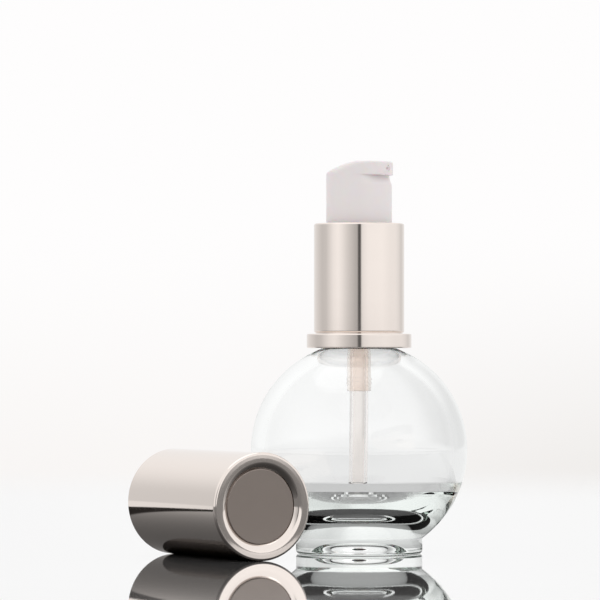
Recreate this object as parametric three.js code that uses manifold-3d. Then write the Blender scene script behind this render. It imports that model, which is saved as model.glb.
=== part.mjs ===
// A spherical glass foundation bottle with a lotion pump, and its metal overcap lying beside it.
// Millimetres, +Z up. The origin is the centre of the foot's flat underside, on the bottle's axis.
import * as THREE from 'three';
import { mergeVertices } from 'three/addons/utils/BufferGeometryUtils.js';
import Module from 'manifold-3d';

const wasm = await Module();
wasm.setup();

// ---------------------------------------------------------------- driving dimensions

const ROUND = 36; // facets round a large turned piece
const FINE = 24; // facets round a piece inside the pump, all in step with each other
const BEAD_SIDES = 8;
const SLIDE_GAP = 0.05; // radial clearance of a sliding or pressed fit
const SEAT_GAP = 0.05; // axial clearance where one piece stops on another

const glass = {
  sphereR: 24.5,
  wall: 2.9,
  footR: 14.3,
  footHeight: 3.52,
  footEdge: 0.8,
  floorZ: 12.3, // the thick clear base ends here, at the middle of the cavity's floor
  floorFlatR: 10,
  floorRise: 4.3, // from the middle of the floor to the corner where the bowl meets the sphere
  neckR: 7.9,
  neckHeight: 13.6, // above the line where the neck leaves the sphere
  shoulderFillet: 0.8,
  lipEdge: 0.5,
};

const thread = {
  pitch: 3.175, // eight turns to the inch, the standard 415 finish
  turns: 1.5,
  height: 0.75,
  start: 1.9, // from the neck's rim down to the middle of the highest turn
  clearance: 0.3,
  runOut: 0.06, // share of the bead's length over which each end sinks into the wall
  stepsPerTurn: 24,
};

const gasket = { thickness: 0.7, inset: 0.2 };

const pump = {
  chamberR: 3.4,
  wall: 1.1,
  neckClearance: 0.25,
  flangeInset: 0.3, // the flange stays this much inside the neck's outer radius
  flangeThickness: 1,
  floorThickness: 1.2,
  tailLength: 11.45,
  tailWall: 0.55,
  tailRibs: 2,
  tailRibR: 0.18,
  ventR: 0.3,
  ventDrop: 2.4,
};

const guide = { plugDepth: 1.3, bodyWall: 0.7, lockProud: 1.3, height: 2.4, bore: 0.15 };
const stem = { outerR: 2, boreR: 1.2, portR: 0.4, portRise: 1.2, socketCover: 3.8 };
const piston = { length: 3.2, waist: 0.3, lip: 0.6 };
const plug = { discR: 3, discThickness: 0.7, pinHeight: 0.7, pinClearance: 0.1 };
const spring = { wireR: 0.25, height: 8.3, turns: 6.5, wallGap: 0.7, endTurns: 1, stepsPerTurn: 14 };
const ball = { radius: 1, travel: 0.65, pocketGap: 0.35, throatInset: 0.2, throatLength: 0.75 };
const nub = { count: 4, height: 0.35, width: 0.4, reach: 0.55 };
const tube = { outerR: 2.1, boreR: 1.3, floorGap: 2.2, cutAngle: 20 };
const stroke = 3.5;

const closure = { wall: 0.65, plate: 1.15, skirtInset: 0.5, plateClearance: 0.2 };

const collar = {
  wall: 0.45,
  fit: 0.2, // between the plastic closure and the metal round it
  flangeFit: 0.15,
  height: 28.25,
  flangeHeight: 3.25,
  flangeProud: 1.65,
  shoulderGap: 0.29, // between the glass shoulder and the collar's lower edge
  edge: 0.5,
};

const actuator = {
  radius: 7.45,
  rise: 13.95, // above the collar's top
  shoulderDrop: 2.4, // how much lower the back edge is than the nozzle's top
  crownSlope: 0.5, // drop of the flat part of the crown from the nozzle to where it turns down
  crownBend: 3.4, // distance behind the axis at which the crown starts to turn down
  wall: 1.2,
  headWall: 4.9,
  bossWall: 1.35,
  bossInset: 3.5,
  lobeR: 7,
  lobeOffset: 0.8,
  lobeDepth: 3.05,
  orificeR: 0.6,
  orificeDrop: 1.6,
  collarGap: 0.3,
  restClearance: 0.7,
  nozzleAngle: -62.3, // degrees from +X
};

const cap = {
  endWall: 0.45,
  topClearance: 0.5,
  edge: 1,
  beadWidth: 0.75,
  recess: 0.9,
  recessSlope: 1.8, // width of the dished ring between the bead and the disc
  linerFit: 0.25,
  shellFit: 0.1,
  linerInset: 0.4,
  sphereGap: 0.4, // between the cap's side and the sphere's widest point
  closedEndY: -21.5,
};

const disc = { radius: 8.35, thickness: 0.4, fit: 0.1 };
const rib = { count: 8, width: 0.6, proud: 0.15, inset: 2, length: 18 };

// ---------------------------------------------------------------- what follows from them

const neckBoreR = pump.chamberR + pump.wall + pump.neckClearance;
const sphereZ = glass.footHeight + Math.sqrt(glass.sphereR ** 2 - glass.footR ** 2);
const cavityR = glass.sphereR - glass.wall;
const neckRootZ = sphereZ + Math.sqrt(glass.sphereR ** 2 - glass.neckR ** 2);
const neckTopZ = neckRootZ + glass.neckHeight;

const housingR = pump.chamberR + pump.wall;
const flangeZ = neckTopZ + gasket.thickness;
const flangeTopZ = flangeZ + pump.flangeThickness;
const guideR = housingR + guide.bodyWall;
const guideBottomZ = flangeTopZ - guide.plugDepth;
const guideTopZ = flangeTopZ + guide.height;

const pistonTopZ = guideBottomZ - SEAT_GAP;
const pistonZ = pistonTopZ - piston.length;
const stemZ = pistonZ - SEAT_GAP;
const plugZ = stemZ - plug.discThickness;
const springTopZ = plugZ - SEAT_GAP;
const springZ = springTopZ - spring.height;
const chamberZ = springZ - SEAT_GAP;

const pocketR = ball.radius + ball.pocketGap;
const throatR = ball.radius - ball.throatInset;
const ballZ = chamberZ - nub.height - SEAT_GAP - ball.travel - ball.radius;
const seatZ = ballZ - Math.sqrt((ball.radius + SEAT_GAP) ** 2 - throatR ** 2);
const socketTopZ = seatZ - ball.throatLength;
const socketR = tube.outerR + SLIDE_GAP;
const tailR = socketR + pump.tailWall;
const tailZ = chamberZ - pump.tailLength;
const tubeZ = glass.floorZ + tube.floorGap;

const closureBoreR = glass.neckR + thread.height + thread.clearance;
const closureR = closureBoreR + closure.wall;
const collarR = closureR + collar.fit + collar.wall;
const flangeR = collarR + collar.flangeProud;
const collarZ = sphereZ + Math.sqrt(glass.sphereR ** 2 - closureBoreR ** 2) + collar.shoulderGap;
const collarStepZ = collarZ + collar.flangeHeight;
const collarTopZ = collarZ + collar.height;
const plateZ = flangeTopZ + SEAT_GAP;
const plateTopZ = plateZ + closure.plate;

const actuatorZ = guideTopZ + stroke + actuator.restClearance;
const actuatorTopZ = collarTopZ + actuator.rise;
const cavityTopZ = actuatorTopZ - actuator.headWall;
const stemTopZ = cavityTopZ - stem.socketCover;

const capR = flangeR;
const linerBoreR = collarR + cap.linerFit;
const linerR = capR - collar.wall - cap.shellFit;
const capDepth = actuatorTopZ - collarStepZ + cap.topClearance;
const capLength = capDepth + cap.endWall + disc.thickness + cap.recess;

// ---------------------------------------------------------------- making solids

/** Signed volume of an indexed triangle mesh; negative when its faces point inwards. */
function signedVolume(geometry) {
  const place = geometry.getAttribute('position');
  const index = geometry.index.array;
  const [a, b, c] = [new THREE.Vector3(), new THREE.Vector3(), new THREE.Vector3()];
  let total = 0;
  for (let i = 0; i < index.length; i += 3) {
    a.fromBufferAttribute(place, index[i]);
    b.fromBufferAttribute(place, index[i + 1]);
    c.fromBufferAttribute(place, index[i + 2]);
    total += a.dot(b.cross(c)) / 6;
  }
  return total;
}

/** The same shape with shared corners, no empty triangles and its faces pointing out. */
function welded(geometry) {
  const bare = geometry.clone();
  bare.deleteAttribute('normal');
  bare.deleteAttribute('uv');
  const merged = mergeVertices(bare);
  const inward = signedVolume(merged) < 0;
  const kept = [];
  const index = merged.index.array;
  for (let i = 0; i < index.length; i += 3) {
    const [a, b, c] = [index[i], index[i + 1], index[i + 2]];
    if (a === b || b === c || c === a) continue;
    kept.push(a, inward ? c : b, inward ? b : c);
  }
  merged.setIndex(kept);
  return merged;
}

/** A solid for joins and cuts. */
function solidOf(geometry) {
  const closed = welded(geometry);
  const vertProperties = new Float32Array(closed.getAttribute('position').array);
  const triVerts = new Uint32Array(closed.index.array);
  return new wasm.Manifold(new wasm.Mesh({ numProp: 3, vertProperties, triVerts }));
}

/** A three.js geometry from a solid. */
function geometryOf(solid) {
  const mesh = solid.getMesh();
  const geometry = new THREE.BufferGeometry();
  geometry.setAttribute('position', new THREE.BufferAttribute(mesh.vertProperties, 3));
  geometry.setIndex(new THREE.BufferAttribute(mesh.triVerts, 1));
  return geometry;
}

/** One geometry: the base with every `added` piece joined and then every `removed` piece cut away. */
function shaped(base, added = [], removed = []) {
  let solid = solidOf(base);
  for (const piece of added) solid = solid.add(solidOf(piece));
  for (const piece of removed) solid = solid.subtract(solidOf(piece));
  return geometryOf(solid);
}

/** A turned piece. The outline is [radius, height] pairs; off the axis it closes on itself. */
function turned(outline, facets = ROUND) {
  const points = outline.map(([radius, height]) => new THREE.Vector2(radius, height));
  if (points[0].x > 0) points.push(points[0].clone());
  return new THREE.LatheGeometry(points, facets).rotateX(Math.PI / 2);
}

/** Points on a circular arc in the outline's plane, ends included. Angles are in degrees. */
function arc(centreR, centreZ, radius, fromDeg, toDeg, steps) {
  return Array.from({ length: steps + 1 }, (_, i) => {
    const angle = THREE.MathUtils.degToRad(fromDeg + ((toDeg - fromDeg) * i) / steps);
    return [centreR + radius * Math.cos(angle), centreZ + radius * Math.sin(angle)];
  });
}

/** Degrees of the direction from one outline point to another. */
function bearing(fromR, fromZ, toR, toZ) {
  return THREE.MathUtils.radToDeg(Math.atan2(toZ - fromZ, toR - fromR));
}

/** A plain ring between two radii and two heights. */
function ring(innerR, outerR, low, high, facets = ROUND) {
  return turned([[innerR, low], [outerR, low], [outerR, high], [innerR, high]], facets);
}

/** A plain round bar on the axis. */
function bar(radius, low, high, facets = ROUND) {
  return turned([[0, low], [radius, low], [radius, high], [0, high]], facets);
}

/** A round bar lying along +X, from one x to another, at a height. */
function crossBar(radius, fromX, toX, height, facets = 12) {
  const geometry = new THREE.CylinderGeometry(radius, radius, toX - fromX, facets);
  return geometry.rotateZ(-Math.PI / 2).translate((fromX + toX) / 2, 0, height);
}

/** A right-hand helix about the axis. `radiusAt` and `heightAt` take the share of its length. */
class Helix extends THREE.Curve {
  constructor(turns, radiusAt, heightAt) {
    super();
    Object.assign(this, { turns, radiusAt, heightAt });
  }

  getPoint(share, target = new THREE.Vector3()) {
    const angle = 2 * Math.PI * this.turns * share;
    const radius = this.radiusAt(share);
    return target.set(radius * Math.cos(angle), radius * Math.sin(angle), this.heightAt(share));
  }
}

/** A round bead or wire along a curve. */
function bead(curve, radius, steps, sides = BEAD_SIDES) {
  const corners = Array.from({ length: sides }, (_, i) => {
    const angle = (2 * Math.PI * i) / sides;
    return new THREE.Vector2(radius * Math.cos(angle), radius * Math.sin(angle));
  });
  const section = new THREE.Shape(corners);
  return new THREE.ExtrudeGeometry(section, { steps, bevelEnabled: false, extrudePath: curve });
}

/** The screw thread's bead on a wall, its ends sunk into that wall by `sink` (outwards if positive). */
function threadBead(wallR, sink, topZ) {
  const lowZ = topZ - thread.pitch * thread.turns;
  const fade = (share) => Math.max(0, 1 - Math.min(share, 1 - share) / thread.runOut);
  const radiusAt = (share) => wallR + sink * fade(share);
  const heightAt = (share) => lowZ + (topZ - lowZ) * share;
  const steps = Math.round(thread.turns * thread.stepsPerTurn);
  return bead(new Helix(thread.turns, radiusAt, heightAt), thread.height, steps);
}

// ---------------------------------------------------------------- finishes

const finishes = {
  glass: { color: 0xf4faf7, roughness: 0.02, metalness: 0, transparent: true, opacity: 0.3 },
  whitePlastic: { color: 0xf0eeee, roughness: 0.35, metalness: 0 },
  clearPlastic: { color: 0xead9cc, roughness: 0.4, metalness: 0, transparent: true, opacity: 0.7 },
  tubePlastic: { color: 0xf2ede8, roughness: 0.4, metalness: 0, transparent: true, opacity: 0.7 },
  sealRubber: { color: 0xdedad4, roughness: 0.8, metalness: 0 },
  brightMetal: { color: 0xdccfc0, roughness: 0.15, metalness: 1 },
  satinMetal: { color: 0x8f8680, roughness: 0.55, metalness: 1 },
  steel: { color: 0xc8c8cc, roughness: 0.25, metalness: 1 },
};

/** A named mesh in one of the finishes. */
function piece(name, geometry, finish) {
  const mesh = new THREE.Mesh(welded(geometry), new THREE.MeshStandardMaterial(finishes[finish]));
  mesh.name = name;
  return mesh;
}

// ---------------------------------------------------------------- the bottle

/** The sphere, its foot and its threaded neck, hollow and open at the neck. */
function glassBottle() {
  const { sphereR, footR, footHeight, footEdge, neckR, shoulderFillet, lipEdge } = glass;
  const { floorZ, floorFlatR, floorRise } = glass;
  const filletR = neckR + shoulderFillet;
  const filletZ = sphereZ + Math.sqrt(sphereR ** 2 - filletR ** 2);
  const cornerZ = floorZ + floorRise;
  const cornerR = Math.sqrt(cavityR ** 2 - (sphereZ - cornerZ) ** 2);
  const boreRootZ = sphereZ + Math.sqrt(cavityR ** 2 - neckBoreR ** 2);
  const outside = [
    [0, 0],
    ...arc(footR - footEdge, footEdge, footEdge, -90, 0, 3),
    ...arc(0, sphereZ, sphereR, bearing(0, sphereZ, footR, footHeight),
      bearing(0, sphereZ, filletR, filletZ), 16),
    [neckR, neckRootZ + shoulderFillet],
    ...arc(neckR - lipEdge, neckTopZ - lipEdge, lipEdge, 0, 90, 2),
  ];
  const inside = [
    ...arc(neckBoreR + lipEdge, neckTopZ - lipEdge, lipEdge, 90, 180, 2),
    ...arc(0, sphereZ, cavityR, bearing(0, sphereZ, neckBoreR, boreRootZ),
      bearing(0, sphereZ, cornerR, cornerZ), 13),
    [(cornerR + floorFlatR) / 2, floorZ + floorRise * 0.4],
    [floorFlatR, floorZ],
    [0, floorZ],
  ];
  const screw = threadBead(neckR, -thread.height * 1.2, neckTopZ - thread.start);
  return piece('glass_bottle', shaped(turned([...outside, ...inside]), [screw]), 'glass');
}

// ---------------------------------------------------------------- the pump

/** The soft washer between the neck's rim and the pump's flange. */
function neckGasket() {
  const innerR = neckBoreR + gasket.inset;
  const outerR = glass.neckR - gasket.inset;
  return piece('neck_gasket', ring(innerR, outerR, neckTopZ, flangeZ, FINE), 'sealRubber');
}

/** The chamber, its flange, the ball's pocket and seat, and the tail that grips the dip tube. */
function pumpHousing() {
  const flangeOuterR = glass.neckR - pump.flangeInset;
  const stepZ = chamberZ - pump.floorThickness;
  const coneTopZ = seatZ + pocketR - throatR;
  const ribs = Array.from({ length: pump.tailRibs }, (_, i) => {
    const middle = tailZ + (i + 2) * 5 * pump.tailRibR;
    return [
      [tailR, middle - 2 * pump.tailRibR],
      [tailR + pump.tailRibR, middle],
      [tailR, middle + 2 * pump.tailRibR],
    ];
  }).flat();
  const body = turned([
    [socketR, tailZ], [tailR, tailZ],
    ...ribs,
    [tailR, stepZ], [housingR, stepZ + pump.wall / 2],
    [housingR, flangeZ], [flangeOuterR, flangeZ], [flangeOuterR, flangeTopZ],
    [pump.chamberR, flangeTopZ], [pump.chamberR, chamberZ],
    [pocketR, chamberZ], [pocketR, coneTopZ],
    [throatR, seatZ], [throatR, socketTopZ], [socketR, socketTopZ],
  ], FINE);
  const nubs = Array.from({ length: nub.count }, (_, i) => {
    const box = new THREE.BoxGeometry(nub.reach * 2, nub.width, nub.height);
    return box.translate(pocketR, 0, chamberZ - nub.height / 2).rotateZ((2 * Math.PI * i) / nub.count);
  });
  const ventZ = flangeZ - pump.ventDrop;
  const vent = crossBar(pump.ventR, pump.chamberR - pump.wall, housingR + pump.wall, ventZ, 8);
  return piece('pump_housing', shaped(body, nubs, [vent]), 'clearPlastic');
}

/** The snap-in guide round the stem; its collar traps the screw closure on the housing's flange. */
function stemGuide() {
  const boreR = stem.outerR + guide.bore;
  const plugR = pump.chamberR - SLIDE_GAP;
  const lockR = guideR + guide.lockProud;
  const lockZ = plateTopZ + SEAT_GAP;
  const outline = [
    [boreR, guideBottomZ], [plugR, guideBottomZ], [plugR, flangeTopZ], [guideR, flangeTopZ],
    [guideR, lockZ], [lockR, lockZ], [lockR, guideTopZ], [boreR, guideTopZ],
  ];
  return piece('stem_guide', turned(outline, FINE), 'whitePlastic');
}

/** The suction tube, its lower end cut at a slant so that it can't seal on the floor. */
function dipTube() {
  const pipe = ring(tube.boreR, tube.outerR, tubeZ, socketTopZ - SEAT_GAP, FINE);
  const size = 8 * tube.outerR;
  const slope = THREE.MathUtils.degToRad(tube.cutAngle);
  const knife = new THREE.BoxGeometry(size, size, size);
  knife.translate(tube.outerR / Math.cos(slope), 0, -size / 2).rotateY(-slope);
  knife.rotateZ(THREE.MathUtils.degToRad(actuator.nozzleAngle) + Math.PI);
  knife.translate(0, 0, tubeZ + tube.outerR * Math.tan(slope));
  return piece('dip_tube', shaped(pipe, [], [knife]), 'tubePlastic');
}

/** The coil that lifts the piston; its end turns lie close together. */
function returnSpring() {
  const coilR = pump.chamberR - spring.wallGap - spring.wireR;
  const low = springZ + spring.wireR;
  const high = springTopZ - spring.wireR;
  const closePitch = 2.1 * spring.wireR;
  const openPitch = (high - low - 2 * spring.endTurns * closePitch) / (spring.turns - 2 * spring.endTurns);
  const heightAt = (share) => {
    const turn = share * spring.turns;
    const fromTop = spring.turns - turn;
    if (turn < spring.endTurns) return low + turn * closePitch;
    if (fromTop < spring.endTurns) return high - fromTop * closePitch;
    return low + spring.endTurns * closePitch + (turn - spring.endTurns) * openPitch;
  };
  const steps = Math.round(spring.turns * spring.stepsPerTurn);
  const coil = new Helix(spring.turns, () => coilR, heightAt);
  return piece('return_spring', bead(coil, spring.wireR, steps, 6), 'steel');
}

/** The inlet valve's ball, resting just clear of its seat. */
function inletBall() {
  const geometry = new THREE.SphereGeometry(ball.radius, 16, 10).rotateX(Math.PI / 2);
  return piece('inlet_ball', geometry.translate(0, 0, ballZ), 'steel');
}

/** The piston, with a sealing lip at each end and a relieved waist. */
function pistonSleeve() {
  const outerR = pump.chamberR - SLIDE_GAP;
  const boreR = stem.outerR + SLIDE_GAP;
  const waistR = outerR - piston.waist;
  const outline = [
    [boreR, pistonZ], [outerR, pistonZ], [waistR, pistonZ + piston.lip],
    [waistR, pistonTopZ - piston.lip], [outerR, pistonTopZ], [boreR, pistonTopZ],
  ];
  return piece('piston', turned(outline, FINE), 'whitePlastic');
}

/** The hollow stem with its cross port. */
function hollowStem() {
  const pipe = ring(stem.boreR, stem.outerR, stemZ, stemTopZ, FINE);
  const port = crossBar(stem.portR, -2 * stem.outerR, 2 * stem.outerR, stemZ + stem.portRise, 8);
  return piece('stem', shaped(pipe, [], [port]), 'whitePlastic');
}

/** The plug that closes the stem's foot, opens under the piston and takes the spring's push. */
function valvePlug() {
  const pinR = stem.boreR - plug.pinClearance;
  const outline = [
    [0, plugZ], [plug.discR, plugZ], [plug.discR, stemZ], [pinR, stemZ],
    [pinR, stemZ + plug.pinHeight], [0, stemZ + plug.pinHeight],
  ];
  return piece('valve_plug', turned(outline, FINE), 'whitePlastic');
}

// ---------------------------------------------------------------- the collar

/** The threaded plastic closure that clamps the pump's flange on the neck. */
function screwClosure() {
  const skirtR = flangeR - collar.wall - collar.flangeFit;
  const skirtZ = collarZ + closure.skirtInset;
  const skirtTopZ = collarStepZ - collar.wall - collar.fit;
  const holeR = guideR + closure.plateClearance;
  const body = turned([
    [closureBoreR, skirtZ], [skirtR, skirtZ], [skirtR, skirtTopZ], [closureR, skirtTopZ],
    [closureR, plateTopZ], [holeR, plateTopZ], [holeR, plateZ], [closureBoreR, plateZ],
  ]);
  const topZ = neckTopZ - thread.start - thread.pitch / 2;
  const screw = threadBead(closureBoreR, 0, topZ);
  return piece('screw_closure', shaped(body, [screw]), 'whitePlastic');
}

/** The drawn metal sleeve over the closure, with its wider foot and its turned-in top. */
function collarShell() {
  const { wall, edge } = collar;
  const holeR = actuator.radius + actuator.collarGap;
  const outline = [
    [flangeR - wall, collarZ], [flangeR, collarZ],
    ...arc(flangeR - edge, collarStepZ - edge, edge, 0, 90, 3),
    [collarR, collarStepZ],
    ...arc(collarR - edge, collarTopZ - edge, edge, 0, 90, 3),
    [holeR, collarTopZ], [holeR, collarTopZ - wall],
    [collarR - wall, collarTopZ - wall], [collarR - wall, collarStepZ - wall],
    [flangeR - wall, collarStepZ - wall],
  ];
  return piece('collar_shell', turned(outline), 'brightMetal');
}

// ---------------------------------------------------------------- the actuator

/** Everything under the crown's sloping, rounded top, as a slab across the nozzle's direction. */
function crownEnvelope() {
  const { shoulderDrop, crownSlope, crownBend, radius } = actuator;
  const reach = radius + 2;
  const bendZ = actuatorTopZ - crownSlope;
  const bendSteps = 6;
  const bend = Array.from({ length: bendSteps + 1 }, (_, i) => {
    const share = i / bendSteps;
    const x = -crownBend - (radius - crownBend) * share;
    return new THREE.Vector2(x, bendZ - (shoulderDrop - crownSlope) * share ** 2);
  });
  const outline = [
    new THREE.Vector2(-radius, actuatorZ - 1),
    new THREE.Vector2(reach, actuatorZ - 1),
    new THREE.Vector2(reach, actuatorTopZ),
    new THREE.Vector2(actuator.lobeOffset, actuatorTopZ),
    ...bend,
  ];
  const slab = new THREE.ExtrudeGeometry(new THREE.Shape(outline), { depth: 2 * reach, bevelEnabled: false });
  return slab.translate(0, 0, -reach).rotateX(Math.PI / 2);
}

/** The hollow push button with its nozzle lobe, stem socket and outlet channel. Nozzle along +X. */
function actuatorHead() {
  const { radius, wall, lobeR, lobeOffset, lobeDepth, bossWall, bossInset } = actuator;
  const bossR = stem.outerR + bossWall;
  const bossZ = actuatorZ + bossInset;
  const socketRadius = stem.outerR + 2 * SLIDE_GAP;
  const orificeZ = actuatorTopZ - actuator.orificeDrop;
  const lobe = bar(lobeR, actuatorTopZ - lobeDepth, actuatorTopZ + 1).translate(lobeOffset, 0, 0);
  const outside = solidOf(bar(radius, actuatorZ, actuatorTopZ + 1)).add(solidOf(lobe));
  const crowned = geometryOf(outside.intersect(solidOf(crownEnvelope())));
  const hollows = [
    ring(bossR, radius - wall, actuatorZ - 1, cavityTopZ),
    bar(radius - wall, actuatorZ - 1, bossZ),
    bar(socketRadius, bossZ - 1, stemTopZ + SEAT_GAP, FINE),
    bar(stem.boreR, stemTopZ, orificeZ + actuator.orificeR, FINE),
    crossBar(actuator.orificeR, 0, radius + 2, orificeZ),
  ];
  const mesh = piece('actuator', shaped(crowned, [], hollows), 'whitePlastic');
  mesh.rotation.z = THREE.MathUtils.degToRad(actuator.nozzleAngle);
  return mesh;
}

// ---------------------------------------------------------------- the overcap, mouth at height 0

/** The drawn metal cup: a bead round its closed end, dished down to a seat for the disc. */
function overcapShell() {
  const { edge, beadWidth, recess, recessSlope, endWall } = cap;
  const { wall } = collar;
  const beadR = capR - edge - beadWidth;
  const seatR = disc.radius + disc.fit;
  const seatZ = capDepth + endWall;
  const dishZ = capLength - recess;
  const dish = Array.from({ length: 3 }, (_, i) => {
    const share = (i + 1) / 3;
    const slope = Math.min(recessSlope, beadR - seatR) * share;
    return [beadR - slope, capLength - recess * Math.sin((Math.PI / 2) * share)];
  });
  const outline = [
    [capR - wall, 0], [capR, 0],
    ...arc(capR - edge, capLength - edge, edge, 0, 90, 3),
    [beadR, capLength],
    ...dish,
    [seatR, dishZ], [seatR, seatZ], [0, seatZ],
    [0, capDepth], [capR - wall, capDepth],
  ];
  const clean = outline.filter((point, i) => i === 0 || Math.hypot(
    point[0] - outline[i - 1][0], point[1] - outline[i - 1][1]) > 0.02);
  return piece('overcap_shell', turned(clean), 'brightMetal');
}

/** The plastic sleeve inside the cup, with ribs that grip the collar. */
function overcapLiner() {
  const sleeve = ring(linerBoreR, linerR, cap.linerInset, capDepth - cap.linerInset);
  const ribs = Array.from({ length: rib.count }, (_, i) => {
    const depth = (linerR - linerBoreR) / 2 + rib.proud;
    const box = new THREE.BoxGeometry(depth, rib.width, rib.length);
    box.translate(linerBoreR - rib.proud + depth / 2, 0, rib.inset + rib.length / 2);
    return box.rotateZ((2 * Math.PI * (i + 0.5)) / rib.count);
  });
  return piece('overcap_liner', shaped(sleeve, ribs), 'whitePlastic');
}

/** The matt inlay let into the closed end. */
function overcapDisc() {
  const low = capDepth + cap.endWall;
  return piece('overcap_disc', bar(disc.radius, low, low + disc.thickness), 'satinMetal');
}

// ---------------------------------------------------------------- the whole object

const overcap = new THREE.Group();
overcap.add(overcapShell(), overcapLiner(), overcapDisc());
overcap.rotation.x = Math.PI / 2;
overcap.position.set(-(glass.sphereR + cap.sphereGap + capR), cap.closedEndY + capLength, capR);

const bottle = new THREE.Group();
bottle.add(
  glassBottle(), neckGasket(), pumpHousing(), stemGuide(), dipTube(), returnSpring(), inletBall(),
  pistonSleeve(), hollowStem(), valvePlug(), screwClosure(), collarShell(), actuatorHead(),
);

const group = new THREE.Group();
group.add(bottle, overcap);

export default group;
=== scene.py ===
"""The looks of a spherical glass foundation bottle with a lotion pump and a loose metal overcap.

Blender works in metres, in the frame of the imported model: +Z up, with the origin at the centre of
the foot's flat underside. The sizes that the classes hold are millimetres and degrees.
"""

from __future__ import annotations

import logging
import math
from collections.abc import Callable
from dataclasses import dataclass
from enum import Enum

import bpy
from mathutils import Matrix, Vector

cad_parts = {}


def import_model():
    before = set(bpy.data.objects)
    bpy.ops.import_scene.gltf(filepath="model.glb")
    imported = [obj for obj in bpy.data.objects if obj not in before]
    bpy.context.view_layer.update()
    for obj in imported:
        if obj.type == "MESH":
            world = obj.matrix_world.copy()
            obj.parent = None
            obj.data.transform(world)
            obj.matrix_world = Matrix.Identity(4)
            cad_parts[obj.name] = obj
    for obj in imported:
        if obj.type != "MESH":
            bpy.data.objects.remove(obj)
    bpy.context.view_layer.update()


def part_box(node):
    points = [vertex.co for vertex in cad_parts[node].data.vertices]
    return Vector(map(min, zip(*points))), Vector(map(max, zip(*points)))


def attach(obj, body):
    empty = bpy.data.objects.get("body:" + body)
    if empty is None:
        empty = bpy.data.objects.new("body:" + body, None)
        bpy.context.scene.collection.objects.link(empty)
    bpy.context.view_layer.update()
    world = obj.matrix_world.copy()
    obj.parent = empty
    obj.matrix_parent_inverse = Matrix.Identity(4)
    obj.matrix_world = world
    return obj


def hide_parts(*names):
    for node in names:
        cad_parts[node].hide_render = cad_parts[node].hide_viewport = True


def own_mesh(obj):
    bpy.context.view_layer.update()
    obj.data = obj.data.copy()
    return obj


LOG = logging.getLogger("foundation_bottle")
MM = 0.001
ROUND = 192
FINE = 96
SHARP_ANGLE = math.radians(38)
ON_AXIS = 1e-6
LONG_STRETCH = 0.6
HOLD = 0.05
THREAD_STEPS = 144
COIL_STEPS = 320

Outline = list[tuple[float, float]]
Level = tuple[float, float]


# ---------------------------------------------------------------- small tools


def srgb(code: str, alpha: float = 1.0) -> tuple[float, float, float, float]:
    """Turn a written colour into the linear one that shaders take.

    Args:
        code: An sRGB colour such as "#F0E5DE".
        alpha: The fourth value of the result.

    Returns:
        Linear red, green and blue, and alpha.
    """
    parts = [int(code[i : i + 2], 16) / 255 for i in (1, 3, 5)]
    linear = [p / 12.92 if p <= 0.04045 else ((p + 0.055) / 1.055) ** 2.4 for p in parts]
    return (linear[0], linear[1], linear[2], alpha)


def add_node(
    tree: bpy.types.NodeTree,
    kind: str,
    settings: dict | None = None,
    inputs: dict | None = None,
) -> bpy.types.Node:
    """Add one node, set it up and link it.

    Args:
        tree: The tree that takes the node.
        kind: The node's type name.
        settings: Attributes of the node, by name.
        inputs: For each input, by name or index, a value or an output socket to link from.

    Returns:
        The new node.
    """
    node = tree.nodes.new(kind)
    for name, value in (settings or {}).items():
        setattr(node, name, value)
    for key, value in (inputs or {}).items():
        socket = node.inputs[key]
        if isinstance(value, bpy.types.NodeSocket):
            tree.links.new(value, socket)
        else:
            socket.default_value = value
    return node


def arc(centre: Level, radius: float, start: float, end: float, steps: int) -> Outline:
    """Points on a circular arc of an outline, ends included.

    Args:
        centre: Radius and height of the arc's centre.
        radius: The arc's own radius.
        start: Bearing of the first point, in degrees from the outward direction.
        end: Bearing of the last point.
        steps: How many chords the arc has.

    Returns:
        The points, as radius and height pairs.
    """
    bearings = [math.radians(start + (end - start) * i / steps) for i in range(steps + 1)]
    return [(centre[0] + radius * math.cos(b), centre[1] + radius * math.sin(b)) for b in bearings]


def bearing(centre: Level, point: Level) -> float:
    """Degrees of the direction from an arc's centre to a point of the outline."""
    return math.degrees(math.atan2(point[1] - centre[1], point[0] - centre[0]))


def smooth_step(value: float, low: float, high: float) -> float:
    """Ease from 0 at low to 1 at high."""
    share = min(1.0, max(0.0, (value - low) / (high - low)))
    return share * share * (3 - 2 * share)


def finish_mesh(mesh: bpy.types.Mesh, material: bpy.types.Material) -> None:
    """Shade a mesh smooth with crisp edges where it turns sharply, and give it its material."""
    mesh.shade_smooth()
    mesh.set_sharp_from_angle(angle=SHARP_ANGLE)
    mesh.materials.clear()
    mesh.materials.append(material)


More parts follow.
